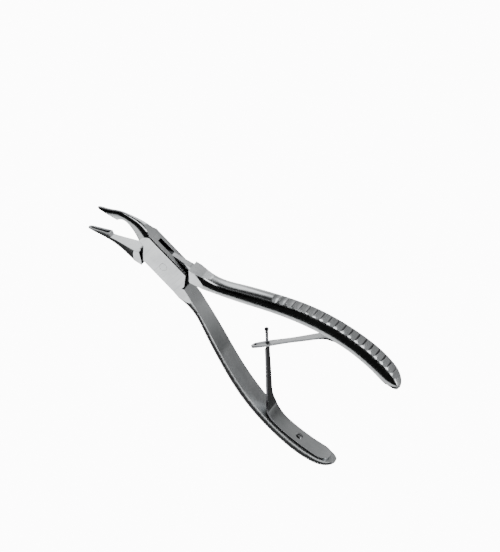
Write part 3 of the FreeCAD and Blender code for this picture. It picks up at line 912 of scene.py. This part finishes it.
@dataclass
class Studio:
    """Pale floor, soft light and the camera.

    Attributes:
        floor_size: Length of the floor in metres.
        floor_drop: Height of the floor under the lock, in millimetres.
        floor_grey: Colour of the floor, which takes little light from the room.
        floor_roughness: Roughness of the floor.
        floor_glow: Brightness of the floor in the picture.
        floor_fill: Light that the floor throws up at the object.
        brightest: Brightness that a band may have at most.
        ahead: Share of the room's light by X of the direction, dark in front of the jaws.
        key: The soft box.
        tilt: Turn of the camera from straight above, in degrees.
        heading: Direction of the camera's tilt from +Y towards -X, in degrees.
        roll: Turn of the picture about the line of sight, in degrees.
        distance: From the camera to the object, in metres.
        lens: Focal length in millimetres, on a sensor 36 mm along the long side.
        centre: Middle of the picture from the pin, to the right and up, in millimetres.
        sight: Nearest and farthest distance that the camera sees, in metres.
        bands: Brightness of the studio round the object.
        cards: Cards on the floor.
    """

    floor_size: float = 6.0
    floor_drop: float = -70.0
    floor_grey: tuple[float, float, float] = (0.10, 0.10, 0.10)
    floor_roughness: float = 0.9
    floor_glow: float = 12.0
    floor_fill: float = 0.51
    brightest: float = 8.0
    ahead: Fade = Fade(-0.74, -0.62, 0.02)
    key: SoftBox = SoftBox()
    tilt: float = 40.0
    heading: float = 7.8
    roll: float = 50.0
    distance: float = 1.5
    lens: float = 244.6
    centre: tuple[float, float] = (33.1, -5.36)
    sight: tuple[float, float] = (0.01, 20.0)
    bands: list[Band] = field(default_factory=lambda: [
        Band(-180.0, 0.4), Band(-96.0, 0.3), Band(-88.0, 0.05), Band(-51.0, 0.05), Band(-46.0, 1.1),
        Band(-24.0, 1.1), Band(-18.0, 0.01), Band(72.0, 0.008), Band(78.0, 3.5), Band(92.0, 3.5),
        Band(104.0, 0.6), Band(180.0, 0.4),
    ])
    cards: list[Card] = field(default_factory=lambda: [
        Card((-60.0, -70.0), (45.0, 30.0), 30.0, 1.3),
        Card((-13.0, 40.0), (300.0, 300.0), 25.0, 0.25),
        Card((58.0, -8.0), (150.0, 66.0), 36.0, 0.05),
        Card((85.0, -300.0), (400.0, 22.0), 20.0, 0.012),
        Card((-1200.0, 75.0), (-50.0, 1200.0), 25.0, 0.01),
        Card((-110.0, 8.0), (-14.0, 75.0), 12.0, 1.8),
    ])

    def build(self) -> None:
        """Builds the floor, the light and the camera."""
        self.build_floor()
        self.build_surroundings()
        self.build_key()
        self.build_camera()

    def build_floor(self) -> None:
        """Lays the pale floor."""
        bpy.ops.object.select_all(action="DESELECT")
        bpy.ops.mesh.primitive_plane_add(size=self.floor_size, location=(0.0, 0.0, self.floor_drop * MM))
        floor = bpy.context.view_layer.objects.active
        floor.name = "floor"
        material = bpy.data.materials.new("pale_floor")
        material.use_nodes = True
        graph = Graph(material.node_tree)
        shader = graph.add("ShaderNodeBsdfPrincipled")
        graph.feed(shader.inputs["Base Color"], self.floor_grey)
        shader.inputs["Roughness"].default_value = self.floor_roughness
        graph.feed(shader.inputs["Emission Color"], (1.0, 1.0, 1.0))
        seen = graph.add("ShaderNodeLightPath").outputs["Is Camera Ray"]
        fill = self.card_light(graph)
        graph.feed(shader.inputs["Emission Strength"], graph.ramp(seen, 0.0, 1.0, fill, self.floor_glow))
        output = graph.add("ShaderNodeOutputMaterial")
        graph.feed(output.inputs["Surface"], shader.outputs[0])
        floor.data.materials.append(material)

    def card_light(self, graph: Graph) -> NodeSocket:
        """Light that the floor and the cards on it throw up.

        Args:
            graph: Nodes of the floor.

        Returns:
            The light.
        """
        places = graph.split(graph.add("ShaderNodeTexCoord").outputs["Object"])
        light: SocketValue = self.floor_fill
        for card in self.cards:
            share: SocketValue = 1.0
            for place, low, high in zip(places, card.low, card.high):
                rise = graph.fade(place, Fade(low, low + card.soft), MM)
                fall = graph.fade(place, Fade(high - card.soft, high, 1.0, 0.0), MM)
                share = graph.math(MathStep.MULTIPLY, share, graph.math(MathStep.MULTIPLY, rise, fall))
            over = graph.math(MathStep.MULTIPLY, share, graph.math(MathStep.SUBTRACT, card.light, light))
            light = graph.math(MathStep.ADD, light, over)
        return light

    def build_surroundings(self) -> None:
        """Sets the soft light of the room: bright panels with dark between them."""
        world = bpy.data.worlds.new("studio")
        bpy.context.scene.world = world
        world.use_nodes = True
        graph = Graph(world.node_tree)
        ahead, aside, up = graph.split(graph.add("ShaderNodeTexCoord").outputs["Generated"])
        angle = graph.math(MathStep.ANGLE, aside, up)
        turn = graph.math(MathStep.ADD, graph.math(MathStep.DIVIDE, angle, math.tau), 0.5)
        ramp = graph.add("ShaderNodeValToRGB")
        graph.feed(ramp.inputs[0], turn)
        stops = ramp.color_ramp.elements
        while len(stops) < len(self.bands):
            stops.new(0.5)
        for stop, band in zip(stops, self.bands):
            stop.position = band.angle / 360.0 + 0.5
            share = band.light / self.brightest
            stop.color = (share, share, share, 1.0)
        strength = graph.ramp(ahead, self.ahead.low, self.ahead.high,
                              self.ahead.start * self.brightest, self.ahead.stop * self.brightest)
        background = graph.add("ShaderNodeBackground")
        graph.feed(background.inputs["Color"], ramp.outputs[0])
        graph.feed(background.inputs["Strength"], strength)
        output = graph.add("ShaderNodeOutputWorld")
        graph.feed(output.inputs["Surface"], background.outputs[0])

    def build_key(self) -> None:
        """Hangs the soft box."""
        light = bpy.data.lights.new("soft_box", "AREA")
        light.shape = "RECTANGLE"
        light.size, light.size_y = self.key.width, self.key.height
        light.energy = self.key.power
        lamp = bpy.data.objects.new("soft_box", light)
        bpy.context.collection.objects.link(lamp)
        place = Vector(self.key.towards) * self.key.distance
        lamp.location = place
        lamp.rotation_euler = place.to_track_quat("Z", "Y").to_euler()

    def build_camera(self) -> None:
        """Places the camera at the photograph's view."""
        heading, tilt, roll = (math.radians(angle) for angle in (self.heading, self.tilt, self.roll))
        forward = Vector((-math.sin(heading), math.cos(heading), 0.0))
        aside = Vector((math.cos(heading), math.sin(heading), 0.0))
        above = Vector((0.0, 0.0, 1.0))
        towards = above * math.cos(tilt) + forward * math.sin(tilt)
        away = forward * math.cos(tilt) - above * math.sin(tilt)
        right = away * math.cos(roll) + aside * math.sin(roll)
        up = away * math.sin(roll) - aside * math.cos(roll)
        target = PIN_CENTRE + (right * self.centre[0] + up * self.centre[1]) * MM
        data = bpy.data.cameras.new("camera")
        data.lens = self.lens
        data.clip_start, data.clip_end = self.sight
        camera = bpy.data.objects.new("camera", data)
        bpy.context.collection.objects.link(camera)
        basis = Matrix((right, up, towards)).transposed().to_4x4()
        basis.translation = target + towards * self.distance
        camera.matrix_world = basis
        bpy.context.scene.camera = camera


def main() -> None:
    """Builds every part of the scene and reports the pieces."""
    logging.basicConfig(level=logging.INFO, format="%(message)s")
    for part in (Halves(), Springs()):
        for piece in part.build():
            LOG.info("%s: %d corners", piece.name, len(piece.data.vertices))
    Studio().build()


if __name__ == "__main__":
    main()
